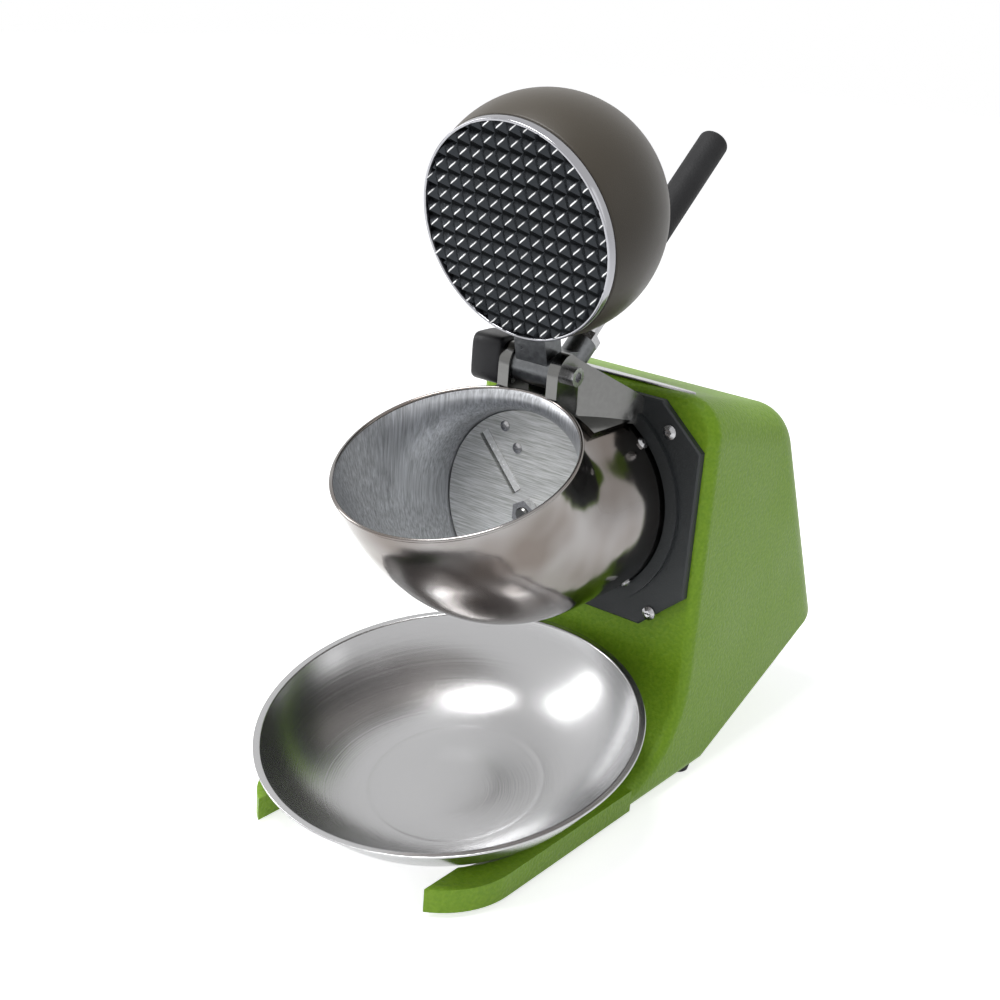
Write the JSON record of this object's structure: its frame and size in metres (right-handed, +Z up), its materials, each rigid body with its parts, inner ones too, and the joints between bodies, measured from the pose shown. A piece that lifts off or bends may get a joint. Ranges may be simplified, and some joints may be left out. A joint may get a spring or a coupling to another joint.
{
  "type": "electric ice shaver",
  "caption": "Table-top ice shaver: open round hopper, spiked pressing lid on a lever, motor-driven blade disc and a snow bowl leaning in a forked base.",
  "frame": {"origin": "on the table, under the middle of the whole machine with its lid open", "axes": "+Z up, -Y towards the user, so the hopper and bowl face -Y, and +X is the side of the hinge bolt's head"},
  "size_m": [0.26, 0.4678, 0.4717],
  "materials": {
    "green_paint": "powder coat with a fine orange peel",
    "graphite_paint": "satin",
    "polished_steel": "polished outside, brushed inside",
    "ground_steel": "circular grind",
    "blade_steel": "ground edge",
    "bracket_steel": "polished",
    "zinc_steel": "zinc plated",
    "cast_aluminium": "tumbled casting",
    "polished_aluminium": "polished",
    "brown_paint": "satin",
    "black_rubber": "matt",
    "black_plastic": "satin",
    "bowl_steel": "satin",
    "laminated_steel": "stacked sheet",
    "bearing_steel": "ground"
  },
  "bodies": {
    "housing": {"body_shell": "green_paint", "base_cover": "graphite_paint", "rubber_feet": "black_rubber", "cover_screws": "zinc_steel", "top_badge": "polished_aluminium", "front_plate": "graphite_paint", "hopper": "polished_steel", "front_plate_screws": "zinc_steel", "hopper_screws": "zinc_steel", "hinge_bracket": "bracket_steel", "hinge_bolt": "zinc_steel", "hinge_nut": "zinc_steel", "safety_switch": "black_plastic", "safety_screws": "zinc_steel", "front_bearing": "bearing_steel", "rear_bearing": "bearing_steel", "motor_front_cap": "cast_aluminium", "motor_rear_cap": "cast_aluminium", "motor_stator": "laminated_steel", "motor_screws": "zinc_steel", "power_switch": "black_plastic", "cord_gland": "black_plastic"},
    "lid": {"lid_arm": "cast_aluminium", "lid_plate": "cast_aluminium", "lid_band": "polished_aluminium", "lid_dome": "brown_paint", "arm_screws": "zinc_steel", "lever_rod": "zinc_steel", "lever_locknut": "zinc_steel", "lever_grip": "black_rubber"},
    "rotor": {"blade_disc": "ground_steel", "blades": "blade_steel", "blade_screws": "zinc_steel", "disc_nut": "zinc_steel", "drive_shaft": "bracket_steel", "motor_rotor": "laminated_steel", "cooling_fan": "black_plastic"},
    "bowl": {"bowl": "bowl_steel"},
    "plunger": {"safety_plunger": "zinc_steel"},
    "rocker": {"power_rocker": "black_plastic"}
  },
  "joints": [
    {"name": "lid_hinge", "type": "hinge", "parent": "housing", "child": "lid", "pos_m": [0, -0.03625, 0.296], "axis": [1, 0, 0], "range_deg": [0, 95.5]},
    {"name": "disc_spin", "type": "hinge", "parent": "housing", "child": "rotor", "pos_m": [0, -0.03625, 0.196], "axis": [0, 1, 0], "continuous": true},
    {"name": "bowl_lift", "type": "slide", "parent": "housing", "child": "bowl", "axis": [0, 0, 1], "range_m": [0, 0.01]},
    {"name": "interlock_press", "type": "slide", "parent": "housing", "child": "plunger", "axis": [-1, 0, 0], "range_m": [0, 0.002], "stiffness_N_per_m": 200},
    {"name": "switch_rock", "type": "hinge", "parent": "housing", "child": "rocker", "pos_m": [-0.095, 0.07475, 0.212], "axis": [0, -1, 0], "range_deg": [0, 14]}
  ]
}
